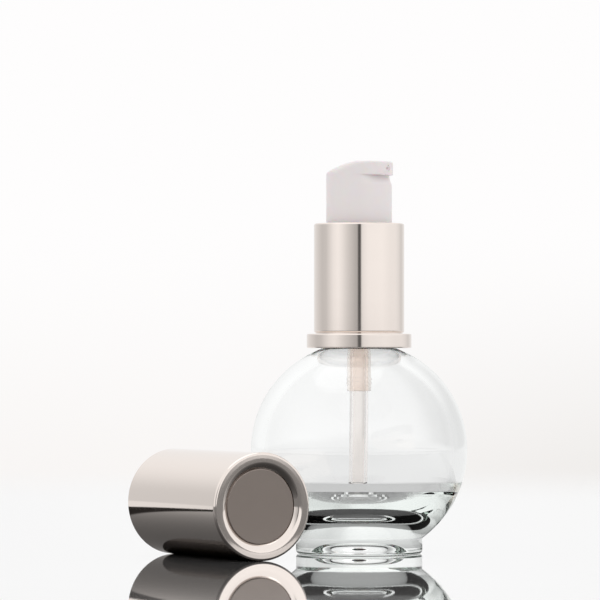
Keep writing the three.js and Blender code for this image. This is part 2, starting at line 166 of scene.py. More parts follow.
def ring_mesh(
    name: str,
    outline_at: Callable[[float], Outline],
    material: bpy.types.Material,
    facets: int = ROUND,
    place: Matrix | None = None,
) -> bpy.types.Object:
    """Build a closed mesh round the Z axis from an outline that may change with the angle.

    Args:
        name: The piece's name.
        outline_at: Gives the outline, in millimetres, at an angle in radians. It runs up the
            outside and down the inside, and starts and ends on the axis or closes on itself.
        material: The piece's material.
        facets: How many faces go round.
        place: Where the finished mesh goes, in metres.

    Returns:
        The new object, at the origin.
    """
    columns = [outline_at(2 * math.pi * i / facets) for i in range(facets)]
    count = len(columns[0])
    vertices: list[tuple[float, float, float]] = []
    rows: list[list[int]] = []
    for j in range(count):
        if columns[0][j][0] < ON_AXIS:
            rows.append([len(vertices)] * facets)
            vertices.append((0.0, 0.0, columns[0][j][1] * MM))
            continue
        rows.append([len(vertices) + i for i in range(facets)])
        for i, column in enumerate(columns):
            angle = 2 * math.pi * i / facets
            radius = column[j][0] * MM
            vertices.append((radius * math.cos(angle), radius * math.sin(angle), column[j][1] * MM))
    on_axis = columns[0][0][0] < ON_AXIS
    faces = []
    for j in range(count - 1 if on_axis else count):
        low, high = rows[j], rows[(j + 1) % count]
        for i in range(facets):
            k = (i + 1) % facets
            corners = list(dict.fromkeys((low[i], low[k], high[k], high[i])))
            if len(corners) > 2:
                faces.append(corners)
    mesh = bpy.data.meshes.new(name)
    mesh.from_pydata(vertices, [], faces)
    if place is not None:
        mesh.transform(place)
    finish_mesh(mesh, material)
    piece = bpy.data.objects.new(name, mesh)
    bpy.context.scene.collection.objects.link(piece)
    return piece


def held(outline: Outline) -> Outline:
    """Add a point close to each end of a long straight stretch, so that it shades flat."""
    points: Outline = []
    for i, (start, end) in enumerate(zip(outline, outline[1:] + outline[:1])):
        points.append(start)
        length = math.dist(start, end)
        closing = i == len(outline) - 1 and outline[0][0] < ON_AXIS
        if closing or length < LONG_STRETCH:
            continue
        for share in (HOLD / length, 1 - HOLD / length):
            points.append(tuple(a + (b - a) * share for a, b in zip(start, end)))
    return points


def turned(
    name: str,
    outline: Outline,
    material: bpy.types.Material,
    facets: int = ROUND,
    place: Matrix | None = None,
) -> bpy.types.Object:
    """Build a turned piece from one outline. The arguments are those of ring_mesh."""
    points = held(outline)
    return ring_mesh(name, lambda _angle: points, material, facets, place)


def fit(piece: bpy.types.Object, body: str, slot: str, *nodes: str) -> bpy.types.Object:
    """Mount a piece on a body of the frame, in place of the CAD nodes it stands for.

    Args:
        piece: The finished piece.
        body: The frame's body that it moves with.
        slot: The name of a material slot; not used.
        nodes: The CAD nodes that it replaces, if any.

    Returns:
        The same piece.
    """
    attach(piece, body)
    if nodes:
        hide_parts(*nodes)
    LOG.info("%s rides on %s, %d faces", piece.name, body, len(piece.data.polygons))
    return piece


# ---------------------------------------------------------------- geometry node pieces


def geometry_tree(name: str, inputs: dict[str, str]) -> bpy.types.NodeTree:
    """Start a geometry tree with named inputs.

    Args:
        name: The tree's name.
        inputs: For each input's name, its socket type.

    Returns:
        The tree, with its group input and output nodes in place.
    """
    tree = bpy.data.node_groups.new(name, "GeometryNodeTree")
    tree.interface.new_socket(name="Geometry", in_out="OUTPUT", socket_type="NodeSocketGeometry")
    for label, kind in inputs.items():
        tree.interface.new_socket(name=label, in_out="INPUT", socket_type=kind)
    tree.nodes.new("NodeGroupInput")
    tree.nodes.new("NodeGroupOutput")
    return tree


def group_ends(tree: bpy.types.NodeTree) -> tuple[bpy.types.Node, bpy.types.Node]:
    """The tree's group input and group output nodes."""
    return tree.nodes["Group Input"], tree.nodes["Group Output"]


def close_tree(tree: bpy.types.NodeTree, geometry: bpy.types.NodeSocket) -> None:
    """End a tree in Realize Instances and Set Material, from its Material input."""
    start, end = group_ends(tree)
    real = add_node(tree, "GeometryNodeRealizeInstances", inputs={"Geometry": geometry})
    dressed = add_node(
        tree,
        "GeometryNodeSetMaterial",
        inputs={"Geometry": real.outputs[0], "Material": start.outputs["Material"]},
    )
    tree.links.new(dressed.outputs[0], end.inputs["Geometry"])


def grown(
    name: str,
    tree: bpy.types.NodeTree,
    values: dict[str, object],
    material: bpy.types.Material,
    place: Matrix | None = None,
) -> bpy.types.Object:
    """Run a geometry tree once and keep its result as a plain mesh.

    Args:
        name: The piece's name.
        tree: The geometry tree.
        values: The value of each of its inputs, by name.
        material: The material for its Material input.
        place: Where the finished mesh goes, in metres.

    Returns:
        The new object, at the origin, with no modifier left on it.
    """
    carrier = bpy.data.objects.new(name + "_carrier", bpy.data.meshes.new(name + "_carrier"))
    bpy.context.scene.collection.objects.link(carrier)
    modifier = carrier.modifiers.new("grow", "NODES")
    modifier.node_group = tree
    for item in tree.interface.items_tree:
        if item.item_type == "SOCKET" and item.in_out == "INPUT":
            value = material if item.name == "Material" else values[item.name]
            modifier[item.identifier] = value
    depsgraph = bpy.context.evaluated_depsgraph_get()
    mesh = bpy.data.meshes.new_from_object(carrier.evaluated_get(depsgraph), depsgraph=depsgraph)
    bpy.data.objects.remove(carrier, do_unlink=True)
    mesh.name = name
    if place is not None:
        mesh.transform(place)
    finish_mesh(mesh, material)
    piece = bpy.data.objects.new(name, mesh)
    bpy.context.scene.collection.objects.link(piece)
    return piece


def helix_tree(name: str, rise: list[Level], swell: list[Level]) -> bpy.types.NodeTree:
    """A round bead or wire along a right-hand helix about Z.

    Args:
        name: The tree's name.
        rise: Share of the height against share of the length.
        swell: Share of the Sink input that is added to the radius, against share of the length.

    Returns:
        The tree. Its inputs are Radius, Low, High, Turns, Wire, Sink, Steps and Material.
    """
    number, whole = "NodeSocketFloat", "NodeSocketInt"
    inputs = {"Radius": number, "Low": number, "High": number, "Turns": number, "Wire": number}
    inputs |= {"Sink": number, "Steps": whole, "Material": "NodeSocketMaterial"}
    tree = geometry_tree(name, inputs)
    value = group_ends(tree)[0].outputs

    def calc(operation: str, *terms: object) -> bpy.types.NodeSocket:
        """Add one math node and give its result."""
        settings = {"operation": operation}
        return add_node(tree, "ShaderNodeMath", settings, dict(enumerate(terms))).outputs[0]

    def eased(points: list[Level], share: bpy.types.NodeSocket) -> bpy.types.NodeSocket:
        """Read a straight-sided curve through the points at a share of the length."""
        node = add_node(tree, "ShaderNodeFloatCurve", inputs={"Value": share})
        curve = node.mapping.curves[0]
        while len(curve.points) < len(points):
            curve.points.new(0.5, 0.5)
        for spot, (x, y) in zip(curve.points, points):
            spot.location = (x, y)
            spot.handle_type = "VECTOR"
        node.mapping.update()
        return node.outputs[0]

    line = add_node(tree, "GeometryNodeCurvePrimitiveLine")
    fine = add_node(
        tree,
        "GeometryNodeResampleCurve",
        inputs={"Curve": line.outputs[0], "Count": value["Steps"]},
    )
    share = add_node(tree, "GeometryNodeSplineParameter").outputs["Factor"]
    angle = calc("MULTIPLY", calc("MULTIPLY", share, value["Turns"]), 2 * math.pi)
    radius = calc("MULTIPLY_ADD", eased(swell, share), value["Sink"], value["Radius"])
    span = calc("SUBTRACT", value["High"], value["Low"])
    height = calc("MULTIPLY_ADD", eased(rise, share), span, value["Low"])
    spot = add_node(
        tree,
        "ShaderNodeCombineXYZ",
        inputs={
            "X": calc("MULTIPLY", radius, calc("COSINE", angle)),
            "Y": calc("MULTIPLY", radius, calc("SINE", angle)),
            "Z": height,
        },
    )
    bent = add_node(
        tree,
        "GeometryNodeSetPosition",
        inputs={"Geometry": fine.outputs[0], "Position": spot.outputs[0]},
    )
    section = add_node(
        tree,
        "GeometryNodeCurvePrimitiveCircle",
        inputs={"Resolution": 16, "Radius": value["Wire"]},
    )
    wire = add_node(
        tree,
        "GeometryNodeCurveToMesh",
        inputs={"Curve": bent.outputs[0], "Profile Curve": section.outputs[0], "Fill Caps": True},
    )
    close_tree(tree, wire.outputs[0])
    return tree


def rib_tree(name: str) -> bpy.types.NodeTree:
    """Straight ribs set round the Z axis, facing it.

    Args:
        name: The tree's name.

    Returns:
        The tree. Its inputs are Count, Radius, Depth, Width, Length, Low and Material.
    """
    number = "NodeSocketFloat"
    inputs = {"Count": "NodeSocketInt", "Radius": number, "Depth": number, "Width": number}
    inputs |= {"Length": number, "Low": number, "Material": "NodeSocketMaterial"}
    tree = geometry_tree(name, inputs)
    value = group_ends(tree)[0].outputs
    spots = add_node(
        tree, "GeometryNodeMeshCircle", inputs={"Vertices": value["Count"], "Radius": value["Radius"]}
    )
    size = add_node(
        tree,
        "ShaderNodeCombineXYZ",
        inputs={"X": value["Depth"], "Y": value["Width"], "Z": value["Length"]},
    )
    block = add_node(tree, "GeometryNodeMeshCube", inputs={"Size": size.outputs[0]})
    where = add_node(tree, "GeometryNodeInputPosition")
    turn = add_node(
        tree,
        "FunctionNodeAlignRotationToVector",
        {"axis": "X", "pivot_axis": "Z"},
        {"Vector": where.outputs[0]},
    )
    placed = add_node(
        tree,
        "GeometryNodeInstanceOnPoints",
        inputs={"Points": spots.outputs[0], "Instance": block.outputs[0], "Rotation": turn.outputs[0]},
    )
    half = add_node(tree, "ShaderNodeMath", {"operation": "MULTIPLY"}, {0: value["Length"], 1: 0.5})
    lift = add_node(
        tree, "ShaderNodeMath", {"operation": "ADD"}, {0: half.outputs[0], 1: value["Low"]}
    )
    move = add_node(tree, "ShaderNodeCombineXYZ", inputs={"Z": lift.outputs[0]})
    raised = add_node(
        tree,
        "GeometryNodeTransform",
        inputs={"Geometry": placed.outputs[0], "Translation": move.outputs[0]},
    )
    close_tree(tree, raised.outputs[0])
    return tree


# ---------------------------------------------------------------- finishes


class Surface(Enum):
    """How a surface was made, which sets the shape of its fine relief."""

    POLISHED = "polished"
    TURNED = "turned"
    MOULDED = "moulded"
    BLASTED = "blasted"


@dataclass(frozen=True)
class Finish:
    """One material: what it is, how it was made, and the numbers that its shader takes.

    Attributes:
        name: The material's name.
        colour: Its sRGB colour.
        surface: How the surface was made.
        roughness: Middle roughness.
        spread: How far the roughness wanders either way.
        metallic: 1 for a bare metal.
        ior: Index of refraction.
        transmission: Share of the light that passes through.
        scatter: Subsurface weight, for plastics that glow a little.
        scatter_depth: How deep that light goes, in millimetres.
        grain: Size of the relief's grain, in millimetres.
        relief: Height of that relief, in millimetres.
        absorb: Density of the absorption inside, per metre, for glass.
        tint: Colour that a thick piece takes on.
    """

    name: str
    colour: str
    surface: Surface
    roughness: float
    spread: float = 0.02
    metallic: float = 0.0
    ior: float = 1.5
    transmission: float = 0.0
    scatter: float = 0.0
    scatter_depth: float = 1.0
    grain: float = 1.0
    relief: float = 0.002
    absorb: float = 0.0
    tint: str = "#FFFFFF"

    def stretch(self) -> tuple[float, float, float]:
        """How the relief's pattern is stretched along X, Y and Z."""
        if self.surface is Surface.TURNED:
            return (0.12, 0.12, 1.0)
        return (1.0, 1.0, 1.0)

    def material(self) -> bpy.types.Material:
        """Build the material once and return it.

        Returns:
            The node material of this finish.
        """
        if self.name in bpy.data.materials:
            return bpy.data.materials[self.name]
        made = bpy.data.materials.new(self.name)
        made.use_nodes = True
        tree = made.node_tree
        shader = tree.nodes["Principled BSDF"]
        shader.inputs["Base Color"].default_value = srgb(self.colour)
        shader.inputs["Metallic"].default_value = self.metallic
        if self.metallic < 1:
            shader.inputs["IOR"].default_value = self.ior
        shader.inputs["Transmission Weight"].default_value = self.transmission
        shader.inputs["Subsurface Weight"].default_value = self.scatter
        shader.inputs["Subsurface Scale"].default_value = self.scatter_depth * MM
        self.relieve(tree, shader)
        if self.absorb:
            depth = add_node(
                tree,
                "ShaderNodeVolumeAbsorption",
                inputs={"Color": srgb(self.tint), "Density": self.absorb},
            )
            tree.links.new(depth.outputs[0], tree.nodes["Material Output"].inputs["Volume"])
        return made

    def relieve(self, tree: bpy.types.NodeTree, shader: bpy.types.Node) -> None:
        """Give a shader its fine relief and its wandering roughness.

        Args:
            tree: The material's tree.
            shader: Its Principled BSDF.
        """
        where = add_node(tree, "ShaderNodeTexCoord")
        scaled = add_node(
            tree,
            "ShaderNodeMapping",
            inputs={"Vector": where.outputs["Object"], "Scale": self.stretch()},
        )
        fine = add_node(
            tree,
            "ShaderNodeTexNoise",
            inputs={"Vector": scaled.outputs[0], "Scale": 1 / (self.grain * MM), "Detail": 3.0},
        )
        broad = add_node(
            tree,
            "ShaderNodeTexNoise",
            inputs={"Vector": scaled.outputs[0], "Scale": 0.08 / (self.grain * MM), "Detail": 2.0},
        )
        rough = add_node(
            tree,
            "ShaderNodeMapRange",
            inputs={
                "Value": broad.outputs[0],
                "To Min": max(0.0, self.roughness - self.spread),
                "To Max": self.roughness + self.spread,
            },
        )
        bump = add_node(
            tree,
            "ShaderNodeBump",
            inputs={"Height": fine.outputs[0], "Distance": self.relief * MM, "Strength": 1.0},
        )
        tree.links.new(rough.outputs[0], shader.inputs["Roughness"])
        tree.links.new(bump.outputs[0], shader.inputs["Normal"])


# Flint glass, moulded and fire-polished: clear, with a faint cool tint where it is thick.
CLEAR_GLASS = Finish(
    "flint_glass_fire_polished", "#FFFFFF", Surface.POLISHED, 0.0, 0.0, 0.0, 1.52, 1.0,
    grain=9.0, relief=0.012, absorb=8.0, tint="#E6F4EC",
)
# Bright anodised aluminium, drawn and buffed: a mirror with a warm silver cast.
BRIGHT_METAL = Finish(
    "bright_anodised_aluminium", "#F1E7E0", Surface.TURNED, 0.075, 0.02, 1.0,
    grain=0.5, relief=0.0004,
)
# Satin anodised aluminium, bead blasted: soft grey with no clear reflection.
SATIN_METAL = Finish(
    "satin_anodised_aluminium", "#A1968F", Surface.BLASTED, 0.42, 0.04, 1.0,
    grain=0.25, relief=0.004,
)
# White polypropylene, injection moulded: soft gloss, and a little light gets into it.
WHITE_PLASTIC = Finish(
    "white_polypropylene_moulded", "#F0EAEA", Surface.MOULDED, 0.36, 0.04, 0.0, 1.49, 0.0, 0.25, 0.6,
    grain=0.5, relief=0.0015,
)
# Natural polypropylene, moulded thin: hazy, with the warm tint of what the pump has held.
HOUSING_PLASTIC = Finish(
    "natural_polypropylene_moulded", "#FDF6F1", Surface.MOULDED, 0.12, 0.04, 0.0, 1.3, 1.0, 0.0, 1.0,
    grain=0.8, relief=0.003,
)
# Low density polyethylene, extruded: a clear, slightly milky tube.
TUBE_PLASTIC = Finish(
    "polyethylene_extruded", "#FCF9F7", Surface.MOULDED, 0.08, 0.03, 0.0, 1.3, 1.0, 0.0, 1.0,
    grain=1.2, relief=0.002,
)
# Closed-cell polyethylene foam, die cut: pale and matt.
SEAL_FOAM = Finish(
    "polyethylene_foam_cut", "#E2DED9", Surface.BLASTED, 0.85, 0.05, 0.0, 1.5,
    grain=0.3, relief=0.02,
)
# Stainless steel wire and ball, drawn and polished.
STEEL = Finish(
    "stainless_steel_polished", "#C9C9CC", Surface.POLISHED, 0.2, 0.03, 1.0,
    grain=0.3, relief=0.0005,
)


# ---------------------------------------------------------------- the bottle


@dataclass
class Bottle:
    """The glass sphere with its foot and threaded neck. Sizes in millimetres.

    The shapes of the cavity's floor, of its flare and of the punt are estimates, chosen for how
    they bend light.
    """

    wall: float = 2.9
    foot_radius: float = 14.3
    foot_height: float = 3.52
    foot_edge: float = 0.8
    floor_height: float = 9.5
    floor_flat: float = 5.6
    floor_power: float = 3.3
    floor_dome: float = 0.13
    corner_height: float = 15.85
    punt_height: float = 2.45
    punt_radius: float = 7.7
    punt_power: float = 5.1
    foot_land: float = 12.9
    funnel_radius: float = 12.0
    funnel_top: float = 49.0
    funnel_lead: float = 3.0
    funnel_spread: float = 3.2
    neck_radius: float = 7.9
    bore_radius: float = 4.75
    fillet: float = 0.8
    lip_edge: float = 0.5
    thread_pitch: float = 3.175
    thread_turns: float = 1.5
    thread_height: float = 0.75
    thread_start: float = 1.9

    def __post_init__(self) -> None:
        """Read the sphere and the neck's rim from the frame."""
        _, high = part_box("glass_bottle")
        self.radius = high[0] / MM
        self.top = high[2] / MM
        self.centre = self.foot_height + math.sqrt(self.radius**2 - self.foot_radius**2)

    def on_sphere(self, radius: float, ball: float) -> Level:
        """The point above the middle where a sphere of that size has the radius given."""
        return (radius, self.centre + math.sqrt(ball**2 - radius**2))

    def outside(self) -> Outline:
        """The outer outline, from the axis under the foot to the neck's rim."""
        middle = (0.0, self.centre)
        foot = (self.foot_radius, self.foot_height)
        root = self.on_sphere(self.neck_radius + self.fillet, self.radius)
        edge = (self.foot_radius - self.foot_edge, self.foot_edge)
        neck_foot = self.on_sphere(self.neck_radius, self.radius)[1] + self.fillet
        lip = (self.neck_radius - self.lip_edge, self.top - self.lip_edge)
        points: Outline = []
        for i in range(25):
            radius = self.punt_radius * i / 24
            share = (radius / self.punt_radius) ** self.punt_power
            points.append((radius, self.punt_height * (1 - share)))
        points.append((self.foot_land, 0.0))
        points += arc(edge, self.foot_edge, -90, 0, 10)
        points += arc(middle, self.radius, bearing(middle, foot), bearing(middle, root), 96)
        points += [(self.neck_radius + 0.25, neck_foot - 0.35), (self.neck_radius, neck_foot)]
        points += arc(lip, self.lip_edge, 0, 90, 6)
        return points

    def inside(self) -> Outline:
        """The cavity's outline, from the neck's rim down to the axis on its floor."""
        hollow = self.radius - self.wall
        middle = (0.0, self.centre)
        lip = (self.bore_radius + self.lip_edge, self.top - self.lip_edge)
        root = self.on_sphere(self.funnel_radius, hollow)
        drop = self.centre - self.corner_height
        corner = (math.sqrt(hollow**2 - drop**2), self.corner_height)
        points = arc(lip, self.lip_edge, 90, 180, 6)
        points += self.funnel(root)
        points += arc(middle, hollow, bearing(middle, root), bearing(middle, corner) + 2.5, 80)
        points += self.floor(corner)
        return points

    def funnel(self, root: Level) -> Outline:
        """The flare from the neck's bore out to the hollow sphere."""
        back = math.radians(bearing((0.0, self.centre), root) + 90)
        start = (self.bore_radius, self.funnel_top)
        first = (self.bore_radius, self.funnel_top - self.funnel_lead)
        spread = self.funnel_spread
        second = (root[0] + spread * math.cos(back), root[1] + spread * math.sin(back))
        points: Outline = []
        for i in range(21):
            t = i / 21
            weights = ((1 - t) ** 3, 3 * t * (1 - t) ** 2, 3 * t * t * (1 - t), t**3)
            knots = (start, first, second, root)
            points.append(tuple(sum(w * k[a] for w, k in zip(weights, knots)) for a in (0, 1)))
        return points

    def floor(self, corner: Level) -> Outline:
        """The bowl of the cavity's floor, from its corner in to the axis."""
        points: Outline = []
        steps = 48
        rise = self.corner_height - self.floor_height
        for i in range(1, steps + 1):
            radius = (corner[0] - 0.2) * (1 - i / steps)
            share = max(0.0, (radius - self.floor_flat) / (corner[0] - self.floor_flat))
            dome = self.floor_dome * (1 - (radius / corner[0]) ** 2)
            points.append((radius, self.floor_height + rise * share**self.floor_power + dome))
        return points

    def build(self) -> None:
        """Make the glass and its thread, and mount them."""
        glass = CLEAR_GLASS.material()
        body = turned("glass_vessel", self.outside() + self.inside(), glass)
        fit(body, "bottle", "clear_glass", "glass_bottle")
        high = self.top - self.thread_start
        values = {
            "Radius": self.neck_radius * MM,
            "Low": (high - self.thread_pitch * self.thread_turns) * MM,
            "High": high * MM,
            "Turns": self.thread_turns,
            "Wire": self.thread_height * MM,
            "Sink": -1.2 * self.thread_height * MM,
            "Steps": THREAD_STEPS,
        }
        tree = helix_tree("neck_thread_turns", [(0, 0), (1, 1)], [(0, 1), (0.06, 0), (0.94, 0), (1, 1)])
        fit(grown("neck_thread", tree, values, glass), "bottle", "clear_glass")


# ---------------------------------------------------------------- the pump


@dataclass
class Pump:
    """The pump's own pieces, from the dip tube up to the stem. Sizes in millimetres."""

    chamber: float = 3.4
    wall: float = 1.1
    tail_rib: float = 0.18
    throat: float = 0.8
    pocket: float = 1.35
    seat_height: float = 45.4
    socket_gap: float = 0.05
    tube_wall: float = 0.8
    tube_cut: float = 20.0
    tube_cut_aim: float = -119.3
    tube_lean: float = 0.3
    wire: float = 0.5
    coil_turns: float = 6.5
    closed_turns: float = 1.0
    stroke: float = 3.5
    gasket_bore: float = 4.95
    plug_disc: float = 0.7
    plug_pin: float = 1.1
    piston_bore: float = 2.05
    piston_waist: float = 0.3
    piston_lip: float = 0.6
    stem_bore: float = 1.2
    guide_bore: float = 2.15
    guide_plug: float = 1.3
    guide_neck: float = 5.2
    guide_rim: float = 2.55

    def build(self) -> None:
        """Make every piece of the pump and mount it."""
        self.housing()
        self.gasket()
        self.tube()
        self.spring()
        self.ball()
        self.plug()
        self.piston()
        self.stem()
        self.guide()

    def housing(self) -> None:
        """The chamber with its flange and its tapering tail."""
        low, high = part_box("pump_housing")
        _, tube_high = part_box("dip_tube")
        flange = high[0] / MM
        top, foot = high[2] / MM, low[2] / MM
        socket = tube_high[0] / MM + self.socket_gap
        tail = socket + 0.55
        outer = self.chamber + self.wall
        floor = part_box("return_spring")[0][2] / MM - 0.1
        step = floor - 1.2
        socket_top = tube_high[2] / MM + self.socket_gap
        points: Outline = [(socket + 0.15, foot), (tail - 0.12, foot), (tail, foot + 0.12)]
        for i in range(2):
            middle = foot + (i + 2) * 5 * self.tail_rib
            points += [(tail, middle - 2 * self.tail_rib), (tail + self.tail_rib * 0.8, middle - 0.1)]
            points += [(tail + self.tail_rib * 0.8, middle + 0.1), (tail, middle + 2 * self.tail_rib)]
        points += [(tail, step), (outer - 0.1, step), (outer, step + 0.1)]
        points += [(outer, top - 1.0), (flange - 0.1, top - 1.0), (flange, top - 0.9)]
        points += [(flange, top - 0.1), (flange - 0.1, top), (self.chamber, top)]
        points += [(self.chamber, floor), (self.pocket, floor)]
        points += [(self.pocket, self.seat_height + self.pocket - self.throat)]
        points += [(self.throat, self.seat_height), (self.throat, socket_top), (socket, socket_top)]
        points += [(socket, foot + 0.15)]
        made = turned("pump_chamber", points, HOUSING_PLASTIC.material(), FINE)
        fit(made, "pump_unit", "housing_plastic", "pump_housing")

    def gasket(self) -> None:
        """The foam washer between the neck's rim and the pump's flange."""
        low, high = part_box("neck_gasket")
        rim, base, lid = high[0] / MM, low[2] / MM, high[2] / MM
        inner = self.gasket_bore
        points = [(inner, base), (rim - 0.1, base), (rim, base + 0.15), (rim, lid - 0.15)]
        points += [(rim - 0.1, lid), (inner, lid)]
        made = turned("foam_gasket", points, SEAL_FOAM.material(), FINE)
        fit(made, "pump_unit", "seal_foam", "neck_gasket")

    def tube(self) -> None:
        """The dip tube, cut at a slant and bent a hair by its own weight."""
        low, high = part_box("dip_tube")
        outer = high[0] / MM
        inner = outer - self.tube_wall
        top, foot = high[2] / MM, low[2] / MM
        slope = math.tan(math.radians(self.tube_cut))
        aim = math.radians(self.tube_cut_aim)
        rows = 24

        def outline_at(angle: float) -> Outline:
            """The wall's section at an angle, its foot on the slanted cut."""
            lean = math.cos(angle - aim)
            base_out = foot + outer * slope * (1 - lean)
            base_in = foot + (outer - inner * lean) * slope
            up = [(outer, base_out + 0.06 + (top - base_out - 0.06) * i / rows) for i in range(rows + 1)]
            down = [(inner, top - (top - base_in - 0.06) * i / rows) for i in range(rows + 1)]
            return [(inner + 0.06, base_in), (outer - 0.06, base_out)] + up + down

        made = ring_mesh("suction_tube", outline_at, TUBE_PLASTIC.material(), FINE)
        for vertex in made.data.vertices:
            share = (top * MM - vertex.co.z) / ((top - foot) * MM)
            bend = self.tube_lean * MM * share * share
            vertex.co.x -= bend * CAMERA_RIGHT[0]
            vertex.co.y -= bend * CAMERA_RIGHT[1]
        fit(made, "pump_unit", "tube_plastic", "dip_tube")

    def spring(self) -> None:
        """The return spring, with closed end turns."""
        low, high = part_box("return_spring")
        end = self.closed_turns / self.coil_turns
        span = (high[2] - low[2]) / MM - self.wire
        close = 1.05 * self.wire * self.closed_turns / span
        rise = [(0, 0), (end, close), (1 - end, 1 - close), (1, 1)]
        values = {
            "Radius": high[0] - self.wire * MM / 2,
            "Low": low[2] + self.wire * MM / 2,
            "High": high[2] - self.wire * MM / 2,
            "Turns": self.coil_turns,
            "Wire": self.wire * MM / 2,
            "Sink": 0.0,
            "Steps": COIL_STEPS,
        }
        tree = helix_tree("spring_turns", rise, [(0, 0), (1, 0)])
        made = grown("coil_spring", tree, values, STEEL.material())
        fit(made, "pump_unit", "spring_steel", "return_spring")
        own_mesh(made)

    def ball(self) -> None:
        """The inlet valve's ball."""
        low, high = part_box("inlet_ball")
        radius = (high[2] - low[2]) / 2 / MM
        middle = (high[2] + low[2]) / 2 / MM
        points = arc((0.0, middle), radius, -90, 90, 32)
        points[0], points[-1] = (0.0, middle - radius), (0.0, middle + radius)
        fit(turned("valve_ball", points, STEEL.material(), 64), "inlet_valve", "spring_steel", "inlet_ball")

    def plug(self) -> None:
        """The plug that closes the stem's foot: a disc with a pin above it."""
        low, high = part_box("valve_plug")
        disc, base, top = high[0] / MM, low[2] / MM, high[2] / MM
        lid, pin = base + self.plug_disc, self.plug_pin
        points = [(0.0, base), (disc - 0.1, base), (disc, base + 0.1), (disc, lid - 0.1)]
        points += [(disc - 0.1, lid), (pin, lid), (pin, top - 0.1), (pin - 0.1, top), (0.0, top)]
        made = turned("outlet_plug", points, WHITE_PLASTIC.material(), FINE)
        fit(made, "head", "white_plastic", "valve_plug")

    def piston(self) -> None:
        """The piston, with a sealing lip at each end."""
        low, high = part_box("piston")
        outer, base, top = high[0] / MM, low[2] / MM, high[2] / MM
        waist, bore, lip = outer - self.piston_waist, self.piston_bore, self.piston_lip
        points = [(bore, base), (outer, base), (waist, base + lip), (waist, top - lip)]
        points += [(outer, top), (bore, top)]
        made = turned("pump_piston", points, WHITE_PLASTIC.material(), FINE)
        fit(made, "piston", "white_plastic", "piston")

    def stem(self) -> None:
        """The hollow stem that carries the push button."""
        low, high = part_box("stem")
        outer, base, top = high[0] / MM, low[2] / MM, high[2] / MM
        bore = self.stem_bore
        points = [(bore, base), (outer, base), (outer, top - 0.2), (outer - 0.2, top), (bore, top)]
        made = turned("hollow_stem", points, WHITE_PLASTIC.material(), FINE)
        fit(made, "head", "white_plastic", "stem")

    def guide(self) -> None:
        """The ring that snaps into the housing round the stem."""
        low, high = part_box("stem_guide")
        lock, base, top = high[0] / MM, low[2] / MM, high[2] / MM
        plug, bore, neck = self.chamber - 0.05, self.guide_bore, self.guide_neck
        shelf, rim = base + self.guide_plug, base + self.guide_rim
        points = [(bore, base), (plug, base), (plug, shelf), (neck, shelf), (neck, rim)]
        points += [(lock, rim), (lock, top - 0.2), (lock - 0.2, top), (bore, top)]
        made = turned("guide_ring", points, WHITE_PLASTIC.material(), FINE)
        fit(made, "pump_unit", "white_plastic", "stem_guide")


# ---------------------------------------------------------------- the collar


@dataclass
class Collar:
    """The metal sleeve with its wider foot, and the screw closure inside it. Millimetres."""

    wall: float = 0.45
    radius: float = 10.25
    foot_height: float = 3.25
    edge: float = 0.5
    foot_edge: float = 0.35
    groove: float = 0.35
    hole: float = 7.75
    closure_bore: float = 8.95
    closure_radius: float = 9.6
    closure_plate: float = 1.15
    closure_hole: float = 5.4
    closure_step: float = 2.1
    thread_pitch: float = 3.175
    thread_turns: float = 1.5
    thread_height: float = 0.75
    thread_start: float = 1.9

    def build(self) -> None:
        """Make the shell and the closure, and mount them."""
        self.sleeve()
        self.closure()

    def sleeve(self) -> None:
        """The drawn metal sleeve."""
        low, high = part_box("collar_shell")
        foot, base, top = high[0] / MM, low[2] / MM, high[2] / MM
        step = base + self.foot_height
        inner = self.radius - self.wall
        low_edge = self.foot_edge * 0.6
        points: Outline = [(foot - self.wall, base)]
        points += arc((foot - low_edge, base + low_edge), low_edge, -90, 0, 5)
        points += arc((foot - self.foot_edge, step - self.foot_edge), self.foot_edge, 0, 90, 8)
        points += [(self.radius - self.groove, step), (self.radius - self.groove, step + 0.25)]
        points += arc((self.radius - self.groove, step + 0.6), self.groove, -75, 0, 6)
        points += arc((self.radius - self.edge, top - self.edge), self.edge, 0, 90, 10)
        points += arc((self.hole + 0.15, top - 0.15), 0.15, 90, 180, 4)
        points += [(self.hole, top - self.wall), (inner, top - self.wall)]
        points += [(inner, step - self.wall), (foot - self.wall, step - self.wall)]
        made = turned("metal_sleeve", points, BRIGHT_METAL.material())
        fit(made, "closure", "bright_metal", "collar_shell")

    def closure(self) -> None:
        """The threaded plastic closure."""
        low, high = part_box("screw_closure")
        white = WHITE_PLASTIC.material()
        foot, base, top = high[0] / MM, low[2] / MM, high[2] / MM
        step, plate = base + self.closure_step, top - self.closure_plate
        points: Outline = [(self.closure_bore, base), (foot - 0.2, base), (foot, base + 0.2)]
        points += [(foot, step), (self.closure_radius, step), (self.closure_radius, top - 0.3)]
        points += [(self.closure_radius - 0.3, top), (self.closure_hole, top)]
        points += [(self.closure_hole, plate), (self.closure_bore, plate)]
        fit(turned("threaded_closure", points, white), "closure", "white_plastic", "screw_closure")
        neck_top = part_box("glass_bottle")[1][2]
        high_turn = neck_top - (self.thread_start + self.thread_pitch / 2) * MM
        values = {
            "Radius": self.closure_bore * MM,
            "Low": high_turn - self.thread_pitch * self.thread_turns * MM,
            "High": high_turn,
            "Turns": self.thread_turns,
            "Wire": self.thread_height * MM,
            "Sink": 0.0,
            "Steps": THREAD_STEPS,
        }
        tree = helix_tree("closure_thread_turns", [(0, 0), (1, 1)], [(0, 0), (1, 0)])
        fit(grown("closure_thread", tree, values, white), "closure", "white_plastic")


# ---------------------------------------------------------------- the push button


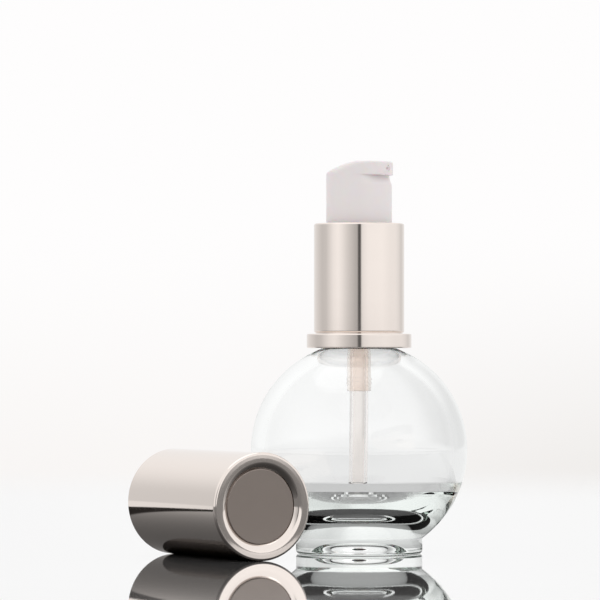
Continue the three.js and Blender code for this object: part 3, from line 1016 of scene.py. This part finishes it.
@dataclass
class PushButton:
    """The white push button with its sloping crown and its nozzle. Sizes in millimetres."""

    radius: float = 7.45
    wall: float = 1.2
    head_wall: float = 4.9
    boss_radius: float = 3.35
    boss_inset: float = 3.5
    socket: float = 2.1
    slope: float = 2.1
    slope_start: float = 3.0
    slope_power: float = 1.3
    slope_length: float = 15.0
    edge: float = 0.45
    back_edge: float = 1.5
    back_from: float = 35.0
    back_full: float = 110.0
    lobe_radius: float = 7.0
    lobe_offset: float = 0.8
    lobe_depth: float = 3.05
    scoop: float = 1.6
    scoop_height: float = 2.4
    scoop_full: float = 15.0
    scoop_to: float = 62.0
    orifice: float = 0.3
    recess: float = 0.75
    recess_depth: float = 0.3
    orifice_drop: float = 1.6
    bore_depth: float = 1.1
    aim: float = -62.3

    def __post_init__(self) -> None:
        """Read the button's foot and top from the frame."""
        low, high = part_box("actuator")
        self.foot = low[2] / MM
        self.top = high[2] / MM

    def crown(self, along: float) -> float:
        """Height of the crown at a distance along the nozzle's direction."""
        fall = max(0.0, self.slope_start - along) ** self.slope_power
        return self.top - self.slope * fall / self.slope_length

    def rounding(self, angle: float) -> float:
        """Radius of the crown's edge: small at the nozzle and large at the back."""
        turn = abs(math.degrees(math.remainder(angle, 2 * math.pi)))
        return self.edge + self.back_edge * smooth_step(turn, self.back_from, self.back_full)

    def reach(self, off: float) -> float:
        """Radius of the nozzle's lobe at an angle from its direction."""
        side = self.lobe_offset * math.sin(off)
        lobe = self.lobe_offset * math.cos(off) + math.sqrt(self.lobe_radius**2 - side**2)
        return max(self.radius, lobe)

    def outline_at(self, angle: float) -> Outline:
        """The button's section at an angle from the nozzle's direction."""
        lip = self.reach(angle)
        turn = abs(math.degrees(math.remainder(angle, 2 * math.pi)))
        proud = 1 - smooth_step(turn, self.scoop_full, self.scoop_to)
        ledge = min(0.12, 0.5 * (lip - self.radius))
        under = self.top - self.lobe_depth
        edge = self.rounding(angle)
        rim = self.crown((lip - edge) * math.cos(angle))
        points: Outline = [(self.radius - self.wall, self.foot), (self.radius - 0.1, self.foot)]
        points += [(self.radius, self.foot + 0.1), (self.radius, self.foot + 0.2)]
        low = under - self.scoop_height
        points += [(self.radius, self.foot + (low - self.foot) * (i + 1) / 7) for i in range(6)]
        rows = 12
        for i in range(rows + 1):
            height = low + self.scoop_height * i / rows
            depth = self.scoop * proud * smooth_step(height, low, under + 0.3)
            points.append((self.radius - depth, height))
        points += [(lip - ledge, under + 0.01), (lip - 0.3 * ledge, under + 0.04), (lip, under + 0.12)]
        start, end = under + 0.12, max(under + 0.2, rim - edge)
        points += [(lip, start + (end - start) * (i + 1) / 5) for i in range(5)]
        for i in range(1, 13):
            turn_up = math.pi / 2 * i / 12
            radius = lip - edge * (1 - math.cos(turn_up))
            points.append((radius, end + (rim - end) * math.sin(turn_up)))
        inner = lip - edge
        for i in range(1, 25):
            radius = inner * (1 - i / 24)
            points.append((radius, self.crown(radius * math.cos(angle))))
        points[-1] = (0.0, self.crown(0.0))
        return points

    def hollow(self) -> Outline:
        """The underside's section, from the skirt up round the boss and into the stem's socket."""
        ceiling = self.top - self.head_wall
        boss_foot = self.foot + self.boss_inset
        socket_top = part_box("stem")[1][2] / MM + 0.05
        outline = [(0.0, socket_top), (self.socket, socket_top), (self.socket, boss_foot)]
        outline += [(self.boss_radius, boss_foot), (self.boss_radius, ceiling)]
        outline += [(self.radius - self.wall, ceiling)]
        return outline

    def build(self) -> None:
        """Make the button, bore its nozzle and mount it."""
        place = Matrix.Rotation(math.radians(self.aim), 4, "Z")
        white = WHITE_PLASTIC.material()
        made = ring_mesh(
            "push_button", lambda angle: self.hollow() + self.outline_at(angle), white, ROUND
        )
        self.bore(made)
        made.data.transform(place)
        finish_mesh(made.data, white)
        fit(made, "head", "actuator_plastic", "actuator")

    def bore(self, made: bpy.types.Object) -> None:
        """Cut the outlet into the nozzle's face, with a small chamfer round it."""
        face = self.reach(0.0)
        height = self.top - self.orifice_drop
        lay = Matrix.Translation((0, 0, height * MM)) @ Matrix.Rotation(math.pi / 2, 4, "Y")
        bed = face - self.recess_depth
        end = face - self.bore_depth
        outline: Outline = [(0.0, end), (self.orifice, end), (self.orifice, bed - 0.05)]
        outline += [(self.orifice + 0.05, bed), (self.recess - 0.05, bed), (self.recess, bed + 0.05)]
        outline += [(self.recess, face), (self.recess + 0.1, face + 0.3), (0.0, face + 0.3)]
        cutter = turned("orifice_cutter", outline, WHITE_PLASTIC.material(), 48, lay)
        cut = made.modifiers.new("orifice", "BOOLEAN")
        cut.operation = "DIFFERENCE"
        cut.solver = "EXACT"
        cut.object = cutter
        depsgraph = bpy.context.evaluated_depsgraph_get()
        mesh = bpy.data.meshes.new_from_object(made.evaluated_get(depsgraph), depsgraph=depsgraph)
        made.modifiers.remove(cut)
        made.data = mesh
        bpy.data.objects.remove(cutter, do_unlink=True)


# ---------------------------------------------------------------- the overcap


@dataclass
class Overcap:
    """The loose metal overcap, lying on its side, mouth towards +Y. Sizes in millimetres."""

    wall: float = 0.45
    edge: float = 0.65
    bead: float = 0.65
    land: float = 0.55
    recess: float = 0.9
    disc_gap: float = 0.06
    disc_thickness: float = 0.4
    liner_radius: float = 11.35
    liner_bore: float = 10.5
    rib_count: int = 8
    rib_width: float = 0.6
    rib_proud: float = 0.15
    rib_inset: float = 2.0
    rib_length: float = 18.0

    def __post_init__(self) -> None:
        """Read the cap's size and place from the frame."""
        low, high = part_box("overcap_shell")
        self.radius = (high[0] - low[0]) / 2 / MM
        self.length = (high[1] - low[1]) / MM
        middle = Vector(((high[0] + low[0]) / 2, high[1], (high[2] + low[2]) / 2))
        self.place = Matrix.Translation(middle) @ Matrix.Rotation(math.pi / 2, 4, "X")
        disc_low, disc_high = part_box("overcap_disc")
        self.disc = (disc_high[0] - disc_low[0]) / 2 / MM
        self.seat = (high[1] - disc_high[1]) / MM

    def shell_outline(self) -> Outline:
        """The shell's section: side, bead, dished ring, seat and inner wall."""
        bead_top = self.radius - self.edge - self.bead - self.land
        seat = self.disc + self.disc_gap
        points: Outline = [(self.radius - self.wall, 0.06), (self.radius - self.wall + 0.06, 0.0)]
        points += [(self.radius - 0.08, 0.0), (self.radius, 0.08)]
        points += arc((self.radius - self.edge, self.length - self.edge), self.edge, 0, 82, 14)
        points += [(self.radius - self.edge - self.bead, self.length)]
        steps = 16
        for i in range(steps + 1):
            share = i / steps
            radius = bead_top - (bead_top - seat) * share
            points.append((radius, self.length - self.recess * share**2))
        inside = self.seat - self.wall
        points += [(seat, self.seat), (0.0, self.seat), (0.0, inside)]
        points += [(self.radius - self.wall, inside)]
        return points

    def build(self) -> None:
        """Make the cap's pieces and mount them."""
        outline = self.shell_outline()
        on_axis = next(i for i, point in enumerate(outline) if point[0] == 0.0)
        ordered = outline[on_axis + 1 :] + outline[: on_axis + 1]
        made = turned("cap_shell", ordered, BRIGHT_METAL.material(), ROUND, self.place)
        fit(made, "overcap", "bright_metal", "overcap_shell")
        self.inlay()
        self.liner()

    def inlay(self) -> None:
        """The satin disc in the closed end."""
        base, top = self.seat + 0.01, self.seat + self.disc_thickness
        points = [(0.0, base), (self.disc, base)]
        points += arc((self.disc - 0.3, top - 0.3), 0.3, 0, 80, 6)
        points += [(self.disc * 0.5, top), (0.0, top)]
        made = turned("cap_inlay", points, SATIN_METAL.material(), ROUND, self.place)
        fit(made, "overcap", "satin_metal", "overcap_disc")

    def liner(self) -> None:
        """The plastic sleeve inside, with its grip ribs."""
        white = WHITE_PLASTIC.material()
        low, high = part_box("overcap_liner")
        shell_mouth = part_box("overcap_shell")[1][1]
        mouth, end = (shell_mouth - high[1]) / MM, (shell_mouth - low[1]) / MM
        points: Outline = [(self.liner_bore + 0.15, mouth), (self.liner_radius, mouth)]
        points += [(self.liner_radius, end), (self.liner_bore, end), (self.liner_bore, mouth + 0.3)]
        made = turned("cap_liner", points, white, ROUND, self.place)
        fit(made, "overcap", "white_plastic", "overcap_liner")
        values = {
            "Count": self.rib_count,
            "Radius": (self.liner_bore + 0.1) * MM,
            "Depth": (2 * self.rib_proud + 0.2) * MM,
            "Width": self.rib_width * MM,
            "Length": self.rib_length * MM,
            "Low": self.rib_inset * MM,
        }
        turn = self.place @ Matrix.Rotation(math.pi / self.rib_count, 4, "Z")
        fit(grown("cap_ribs", rib_tree("grip_ribs"), values, white, turn), "overcap", "white_plastic")


# ---------------------------------------------------------------- the studio

# Level directions of length 1: from the object towards the camera, and to the camera's right.
CAMERA_BACK = (-0.4890, -0.8723)
CAMERA_RIGHT = (0.8723, -0.4890)


@dataclass
class Studio:
    """A pale floor, a soft light tent and the camera. Lengths in metres, angles in degrees.

    Each band of light is a list of azimuth, from the camera's side round to the right, and level.
    """

    distance: float = 0.979
    eye_height: float = 0.0472
    shift_left: float = 0.0134
    pitch: float = 0.597
    lens: float = 259.1
    floor_radius: float = 0.75
    floor_clear: float = 0.3
    sheet_edge: float = 0.014
    # Back edge of the band of painted shade that the floor shows in reflections.
    shade_band_edge: float = 0.045
    sheet_front: float = -0.08
    # Levels of the glow of painted light on the floor seen through the glass: a painted shadow below the
    # foot, paler further out.
    painted_sheet_light: tuple[Level, ...] = ((0.0, 0.12), (0.13, 0.14), (0.16, 0.35), (0.35, 0.60), (1.0, 0.85))
    pale: str = "#F6F4F3"
    soft_share: float = 0.95
    sheen: tuple[Level, ...] = ((0.0, 0.02), (0.70, 0.06), (0.86, 0.35), (0.945, 0.97), (1.0, 1.0))
    horizon: Level = (-0.019, -0.004)
    ceiling: Level = (0.18, 0.62)
    lamp_power: float = 0.55
    lamp_size: float = 0.7
    light_bounces: int = 32
    tent: tuple[Level, ...] = (
        (-180, 0.95), (-137, 0.76), (-110, 0.62), (-94, 0.65), (-84, 0.77), (-70, 0.95), (-56, 1.03),
        (-46, 0.95), (-30, 0.74), (-10, 0.52), (-5, 0.48), (-2.5, 0.10), (3.0, 0.10), (5.0, 0.80),
        (9, 0.92), (22, 1.02), (60, 1.04), (85, 0.96), (106, 0.94), (120, 0.84), (134, 0.70),
        (160, 0.88), (180, 0.95),
    )
    under: tuple[Level, ...] = (
        (-180, 0.92), (-125, 0.90), (-105, 0.25), (0, 0.20), (105, 0.25), (125, 0.80), (180, 0.92),
    )
    through: tuple[Level, ...] = (
        (-180, 1.0), (-173, 0.98), (-165, 0.95), (-150, 1.0), (-100, 0.95), (-60, 0.85), (-20, 0.50),
        (20, 0.50), (60, 0.80), (95, 0.75), (115, 0.70), (138, 0.80), (150, 0.78), (163, 0.74),
        (170, 0.82), (174, 0.95), (180, 1.0),
    )

    def build(self) -> None:
        """Set the camera, the floor, the lamps and the world."""
        scene = bpy.context.scene
        scene.view_settings.view_transform = "Standard"
        # Light crosses the thick glass base many times before it leaves.
        scene.cycles.max_bounces = self.light_bounces
        scene.cycles.glossy_bounces = self.light_bounces
        scene.cycles.transmission_bounces = self.light_bounces
        self.camera()
        self.floor()
        self.lamps()
        self.world()

    def camera(self) -> None:
        """A long lens, almost level with the collar's foot."""
        data = bpy.data.cameras.new("camera")
        data.lens = self.lens
        data.sensor_width = 36
        data.clip_start = 0.01
        data.clip_end = 20
        rig = bpy.data.objects.new("camera", data)
        bpy.context.scene.collection.objects.link(rig)
        back = Vector((CAMERA_BACK[0], CAMERA_BACK[1], 0))
        right = Vector((CAMERA_RIGHT[0], CAMERA_RIGHT[1], 0))
        rig.location = back * self.distance - right * self.shift_left + Vector((0, 0, self.eye_height))
        look = -back + Vector((0, 0, math.tan(math.radians(self.pitch))))
        rig.rotation_euler = look.to_track_quat("-Z", "Y").to_euler()
        bpy.context.scene.camera = rig

    def floor(self) -> None:
        """A round pale table top that fades into the backdrop."""
        rings = 48
        mesh = bpy.data.meshes.new("table_top")
        corners = [
            (self.floor_radius * math.cos(2 * math.pi * i / rings),
             self.floor_radius * math.sin(2 * math.pi * i / rings), 0.0)
            for i in range(rings)
        ]
        mesh.from_pydata(corners, [], [list(range(rings))])
        mesh.materials.append(self.floor_material())
        top = bpy.data.objects.new("table_top", mesh)
        bpy.context.scene.collection.objects.link(top)

    def floor_material(self) -> bpy.types.Material:
        """Polished acrylic: pale to the eye; in the object's reflections, a dark glossy sheet with a band
        of painted shade behind it; through the glass, mostly that sheet with a glow of painted shadow and
        light.

        Returns:
            The floor's material.
        """
        made = bpy.data.materials.new("polished_acrylic_sheet")
        made.use_nodes = True
        tree = made.node_tree
        pale = tree.nodes["Principled BSDF"]
        pale.inputs["Base Color"].default_value = srgb(self.pale)
        pale.inputs["Roughness"].default_value = 0.3
        pale.inputs["Specular IOR Level"].default_value = 0.0
        where = add_node(tree, "ShaderNodeTexCoord").outputs["Object"]
        path = add_node(tree, "ShaderNodeLightPath")
        gloss = self.grazing(tree)
        mirror = add_node(
            tree, "ShaderNodeBsdfGlossy", inputs={"Color": (1.0, 1.0, 1.0, 1.0), "Roughness": 0.02}
        )
        seen = add_node(
            tree,
            "ShaderNodeMixShader",
            inputs={0: gloss, 1: pale.outputs[0], 2: mirror.outputs[0]},
        )
        clear = add_node(tree, "ShaderNodeBsdfTransparent")
        length = add_node(tree, "ShaderNodeVectorMath", {"operation": "LENGTH"}, {0: where})
        fade = add_node(
            tree,
            "ShaderNodeMapRange",
            {"interpolation_type": "SMOOTHSTEP"},
            {
                "Value": length.outputs["Value"],
                "From Min": self.floor_clear,
                "From Max": self.floor_radius * 0.96,
            },
        )
        faded = add_node(
            tree,
            "ShaderNodeMixShader",
            inputs={0: fade.outputs[0], 1: seen.outputs[0], 2: clear.outputs[0]},
        )
        sheet = self.dark_sheet(tree, where, clear.outputs[0])
        soft = self.painted_light_sheet(tree, length.outputs["Value"], sheet)
        glossy = add_node(
            tree,
            "ShaderNodeMixShader",
            inputs={0: path.outputs["Is Glossy Ray"], 1: faded.outputs[0], 2: sheet},
        )
        mixed = add_node(
            tree,
            "ShaderNodeMixShader",
            inputs={0: path.outputs["Is Transmission Ray"], 1: glossy.outputs[0], 2: soft},
        )
        tree.links.new(mixed.outputs[0], tree.nodes["Material Output"].inputs["Surface"])
        return made

    def grazing(self, tree: bpy.types.NodeTree) -> bpy.types.NodeSocket:
        """How mirror-like the sheet is, from its facing angle: nearly full at a grazing view."""
        facing = add_node(tree, "ShaderNodeLayerWeight", inputs={"Blend": 0.5})
        ramp = add_node(tree, "ShaderNodeValToRGB", inputs={"Fac": facing.outputs["Facing"]})
        self.set_stops(ramp, self.sheen)
        return ramp.outputs["Color"]

    def dark_sheet(
        self, tree: bpy.types.NodeTree, where: bpy.types.NodeSocket, clear: bpy.types.NodeSocket
    ) -> bpy.types.NodeSocket:
        """The sheet in reflections: glossy black between its edges, then a band of painted shade behind it
        (a fixed dark grey glow), then nothing.

        Args:
            tree: The floor material's tree.
            where: Object coordinates.
            clear: A transparent shader.

        Returns:
            The shader's output.
        """
        depth = add_node(
            tree,
            "ShaderNodeVectorMath",
            {"operation": "DOT_PRODUCT"},
            {0: where, 1: (-CAMERA_BACK[0], -CAMERA_BACK[1], 0)},
        ).outputs["Value"]
        black = add_node(
            tree,
            "ShaderNodeBsdfPrincipled",
            inputs={"Base Color": srgb("#141211"), "Roughness": 0.03, "IOR": 1.5},
        )
        # Painted shade: a fixed dark grey glow for the shaded floor behind the sheet, seen only in
        # reflections.
        shade = add_node(tree, "ShaderNodeEmission", inputs={"Color": srgb("#2A2827")})
        past_sheet = self.beyond(tree, depth, self.sheet_edge)
        past_shade_band = self.beyond(tree, depth, self.shade_band_edge)
        near = add_node(
            tree, "ShaderNodeMixShader", inputs={0: past_sheet, 1: black.outputs[0], 2: shade.outputs[0]}
        )
        far = add_node(tree, "ShaderNodeMixShader", inputs={0: past_shade_band, 1: near.outputs[0], 2: clear})
        started = self.beyond(tree, depth, self.sheet_front)
        whole = add_node(tree, "ShaderNodeMixShader", inputs={0: started, 1: clear, 2: far.outputs[0]})
        return whole.outputs[0]

    def painted_light_sheet(
        self, tree: bpy.types.NodeTree, length: bpy.types.NodeSocket, sheet: bpy.types.NodeSocket
    ) -> bpy.types.NodeSocket:
        """The sheet through the glass: mostly the dark sheet, with a glow of painted light that is dark
        below the foot, a painted shadow, and paler round it.

        Args:
            tree: The floor material's tree.
            length: Distance from the bottle's axis.
            sheet: The shader of the sheet in reflections.

        Returns:
            The shader's output.
        """
        share = add_node(
            tree, "ShaderNodeMapRange", inputs={"Value": length, "From Min": 0.0, "From Max": 0.1}
        )
        # Painted light: this glow stands for the floor's light and the bottle's shadow, not for any lamp.
        ramp = add_node(tree, "ShaderNodeValToRGB", inputs={"Fac": share.outputs[0]})
        self.set_stops(ramp, self.painted_sheet_light)
        painted_light_glow = add_node(tree, "ShaderNodeEmission", inputs={"Color": ramp.outputs["Color"]})
        both = add_node(
            tree,
            "ShaderNodeMixShader",
            inputs={0: self.soft_share, 1: sheet, 2: painted_light_glow.outputs[0]},
        )
        return both.outputs[0]

    def beyond(
        self, tree: bpy.types.NodeTree, depth: bpy.types.NodeSocket, edge: float
    ) -> bpy.types.NodeSocket:
        """0 in front of an edge across the view, 1 behind it, softened by 4 mm."""
        node = add_node(
            tree,
            "ShaderNodeMapRange",
            {"interpolation_type": "SMOOTHSTEP"},
            {"Value": depth, "From Min": edge - 0.002, "From Max": edge + 0.002},
        )
        return node.outputs[0]

    def lamps(self) -> None:
        """One broad soft lamp overhead, a little behind and to the left."""
        data = bpy.data.lights.new("overhead", "AREA")
        data.shape = "DISK"
        data.size = self.lamp_size
        data.energy = self.lamp_power
        lamp = bpy.data.objects.new("overhead", data)
        lamp.location = (-0.05, 0.12, 0.75)
        lamp.rotation_euler = (Vector((0, 0, 0.04)) - lamp.location).to_track_quat("-Z", "Y").to_euler()
        lamp.visible_camera = False
        bpy.context.scene.collection.objects.link(lamp)

    def set_stops(self, ramp: bpy.types.Node, levels: tuple[Level, ...]) -> None:
        """Give a colour ramp its stops, as position and grey level, in rising order."""
        stops = ramp.color_ramp.elements
        while len(stops) < len(levels):
            stops.new(0.5)
        for stop, (position, level) in zip(stops, levels):
            stop.position = position
            stop.color = (level, level, level, 1)

    def band(
        self, tree: bpy.types.NodeTree, share: bpy.types.NodeSocket, levels: tuple[Level, ...]
    ) -> bpy.types.NodeSocket:
        """Light all round, from a list of azimuths and levels."""
        ramp = add_node(tree, "ShaderNodeValToRGB", inputs={"Fac": share})
        self.set_stops(ramp, tuple(((azimuth + 180) / 360, level) for azimuth, level in levels))
        return ramp.outputs["Color"]

    def mixed(
        self,
        tree: bpy.types.NodeTree,
        factor: bpy.types.NodeSocket,
        first: object,
        second: object,
    ) -> bpy.types.NodeSocket:
        """Mix two colours by a factor."""
        node = add_node(
            tree,
            "ShaderNodeMix",
            {"data_type": "RGBA"},
            {"Factor": factor, "A": first, "B": second},
        )
        return node.outputs["Result"]

    def eased(
        self, tree: bpy.types.NodeTree, value: bpy.types.NodeSocket, low: float, high: float
    ) -> bpy.types.NodeSocket:
        """Ease a value from 0 at low to 1 at high."""
        node = add_node(
            tree,
            "ShaderNodeMapRange",
            {"interpolation_type": "SMOOTHSTEP"},
            {"Value": value, "From Min": low, "From Max": high},
        )
        return node.outputs[0]

    def world(self) -> None:
        """A pale backdrop to the eye, and a light tent with a gap for the camera to all else."""
        world = bpy.data.worlds.new("light_tent")
        bpy.context.scene.world = world
        world.use_nodes = True
        tree = world.node_tree
        where = add_node(tree, "ShaderNodeTexCoord").outputs["Generated"]
        across, towards = (
            add_node(
                tree,
                "ShaderNodeVectorMath",
                {"operation": "DOT_PRODUCT"},
                {0: where, 1: (axis[0], axis[1], 0)},
            ).outputs["Value"]
            for axis in (CAMERA_RIGHT, CAMERA_BACK)
        )
        angle = add_node(tree, "ShaderNodeMath", {"operation": "ARCTAN2"}, {0: across, 1: towards})
        share = add_node(
            tree,
            "ShaderNodeMapRange",
            inputs={"Value": angle.outputs[0], "From Min": -math.pi, "From Max": math.pi},
        ).outputs[0]
        height = add_node(tree, "ShaderNodeSeparateXYZ", inputs={0: where}).outputs["Z"]
        above = self.eased(tree, height, *self.ceiling)
        level = self.eased(tree, height, *self.horizon)
        white = (1.0, 1.0, 1.0, 1.0)
        low = self.band(tree, share, self.under)
        gloss = self.mixed(tree, level, low, self.band(tree, share, self.tent))
        gloss = self.mixed(tree, above, gloss, white)
        clear = self.mixed(tree, level, low, self.band(tree, share, self.through))
        clear = self.mixed(tree, above, clear, white)
        path = add_node(tree, "ShaderNodeLightPath")
        light = self.mixed(tree, path.outputs["Is Transmission Ray"], gloss, clear)
        light = self.mixed(tree, path.outputs["Is Camera Ray"], light, self.backdrop(tree, across, height))
        tree.links.new(light, tree.nodes["Background"].inputs["Color"])

    def backdrop(
        self, tree: bpy.types.NodeTree, across: bpy.types.NodeSocket, height: bpy.types.NodeSocket
    ) -> bpy.types.NodeSocket:
        """The paper behind the object: white high up, with painted shade low on the right that makes it a
        little warmer and darker.
        """
        # Painted light and shade on the paper: brightest high up, darker and warmer low on the right.
        rise = self.eased(tree, height, -0.055, 0.03)
        side = self.eased(tree, across, -0.03, 0.09)
        low = self.mixed(tree, side, srgb("#F7F4F2"), srgb("#EBE8E5"))
        return self.mixed(tree, rise, low, srgb("#FEFDFD"))


# ---------------------------------------------------------------- the whole object


def main() -> None:
    """Load the frame, build each sub-assembly round it and set up the studio."""
    logging.basicConfig(level=logging.INFO, format="%(message)s")
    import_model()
    Studio().build()
    for part in (Bottle(), Pump(), Collar(), PushButton(), Overcap()):
        part.build()
        LOG.info("%s is done", type(part).__name__)


if __name__ == "__main__":
    main()
